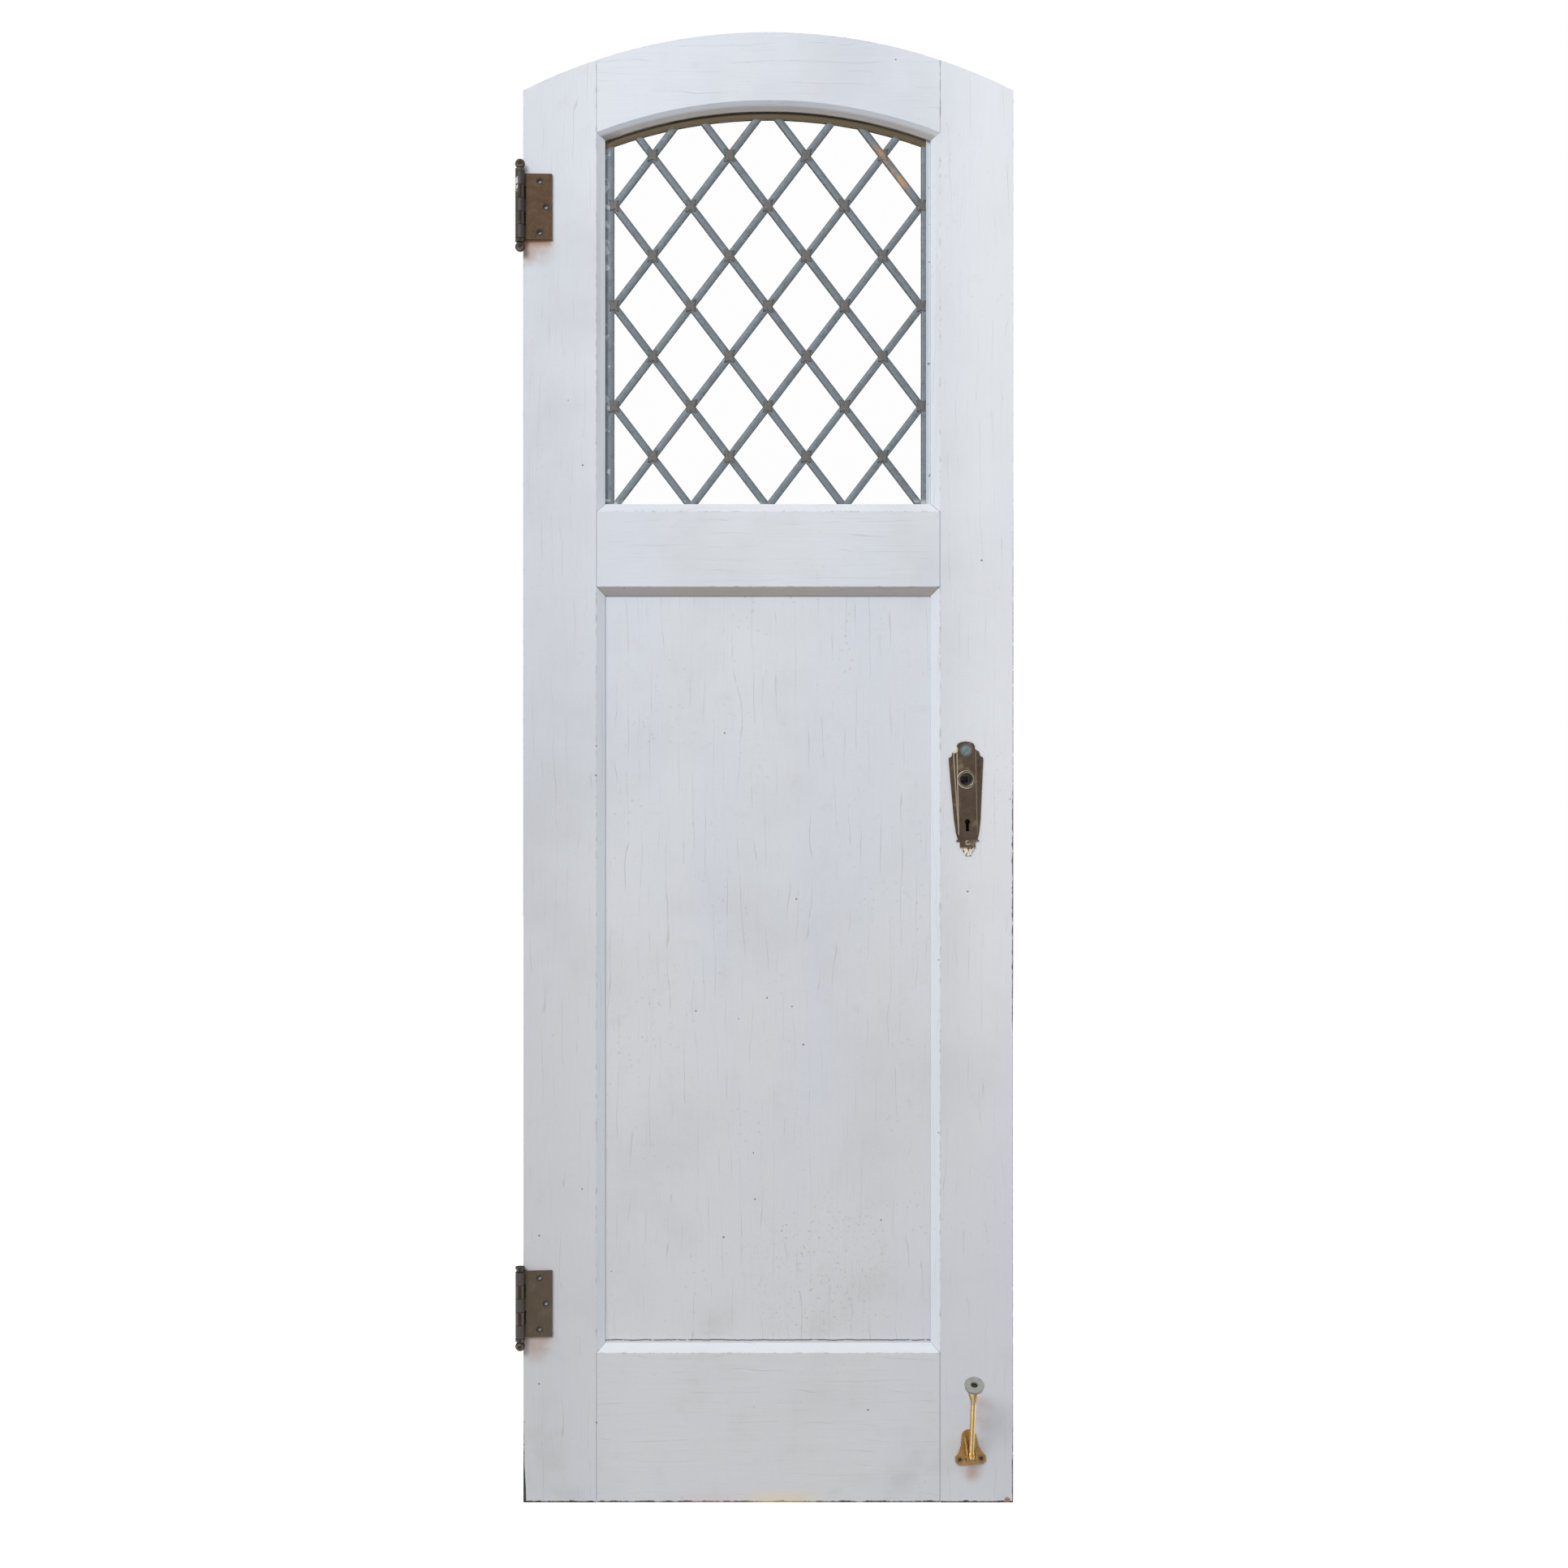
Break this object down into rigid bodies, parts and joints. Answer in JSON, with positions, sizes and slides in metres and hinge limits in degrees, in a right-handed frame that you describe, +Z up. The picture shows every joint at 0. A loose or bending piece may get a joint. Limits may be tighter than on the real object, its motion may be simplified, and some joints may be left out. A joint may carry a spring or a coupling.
{
  "type": "leaded glass front door",
  "caption": "Arched-top painted wooden front door with a leaded light of clear diamond panes, a tall flat panel, butt hinges, a stepped lock plate and a door holder",
  "frame": {"origin": "on the lower hinge's pin, at the middle of its height", "axes": "+Z up along the hinge pins, +Y from the front face to the back, +X from the hinge edge to the lock edge"},
  "size_m": [0.6724, 0.1527, 1.9812],
  "materials": {
    "white_paint": "wood under old white oil paint, dull and finely cracked, chipped along the edges",
    "glass": "clear old window glass, faintly uneven",
    "lead": "blue-grey weathered lead came with brownish solder at the crossings",
    "bronze": "worn brown bronze, bright on its edges and round the knob hole",
    "hinge_leaf": "tarnished brown, mottled, with scraps of white paint",
    "hinge_iron": "dark tarnished metal, smooth, with scraps of white paint",
    "iron": "dark iron, plain",
    "polished_brass": "polished brass",
    "rubber": "grey rubber, matt"
  },
  "bodies": {
    "door": {"back_lock_plate": "bronze", "bottom_rail": "white_paint", "door_holder_bracket": "polished_brass", "front_lock_plate": "bronze", "glazing_bead": "white_paint", "hinge_stile": "white_paint", "lead_came": "lead", "lock_stile": "white_paint", "lower_hinge_door_leaf": "hinge_iron", "lower_hinge_pin": "hinge_iron", "middle_rail": "white_paint", "mortise_lock": "iron", "pane_row0_column1": "glass", "pane_row0_column3": "glass", "pane_row0_column5": "glass", "pane_row0_column7": "glass", "pane_row1_column0": "glass", "pane_row1_column2": "glass", "pane_row1_column4": "glass", "pane_row1_column6": "glass", "pane_row1_column8": "glass", "pane_row2_column1": "glass", "pane_row2_column3": "glass", "pane_row2_column5": "glass", "pane_row2_column7": "glass", "pane_row3_column0": "glass", "pane_row3_column2": "glass", "pane_row3_column4": "glass", "pane_row3_column6": "glass", "pane_row3_column8": "glass", "pane_row4_column1": "glass", "pane_row4_column3": "glass", "pane_row4_column5": "glass", "pane_row4_column7": "glass", "pane_row5_column0": "glass", "pane_row5_column2": "glass", "pane_row5_column4": "glass", "pane_row5_column6": "glass", "pane_row5_column8": "glass", "pane_row6_column1": "glass", "pane_row6_column3": "glass", "pane_row6_column5": "glass", "pane_row6_column7": "glass", "pane_row7_column0": "glass", "pane_row7_column2": "glass", "pane_row7_column4": "glass", "pane_row7_column6": "glass", "pane_row7_column8": "glass", "panel": "white_paint", "top_rail": "white_paint", "upper_hinge_door_leaf": "hinge_iron", "upper_hinge_pin": "hinge_iron"},
    "upper_jamb_leaf": {"upper_hinge_jamb_leaf": "hinge_leaf"},
    "lower_jamb_leaf": {"lower_hinge_jamb_leaf": "hinge_leaf"},
    "bolt": {"latch_bolt": "iron"},
    "holder_arm": {"door_holder_arm": "polished_brass", "door_holder_tip": "rubber"}
  },
  "joints": [
    {"name": "upper_hinge_turn", "type": "hinge", "parent": "door", "child": "upper_jamb_leaf", "pos_m": [0, 0, 1.476], "axis": [0, 0, -1], "range_deg": [0, 273]},
    {"name": "lower_hinge_turn", "type": "hinge", "parent": "door", "child": "lower_jamb_leaf", "pos_m": [0, 0, 0], "axis": [0, 0, -1], "range_deg": [0, 273]},
    {"name": "latch_slide", "type": "slide", "parent": "door", "child": "bolt", "axis": [1, 0, 0], "range_m": [-0.0015, 0.01]},
    {"name": "holder_swing", "type": "hinge", "parent": "door", "child": "holder_arm", "pos_m": [0.60525, -0.0048, -0.2015], "axis": [0.9976, 0, 0.0698], "range_deg": [-32, 125]}
  ]
}
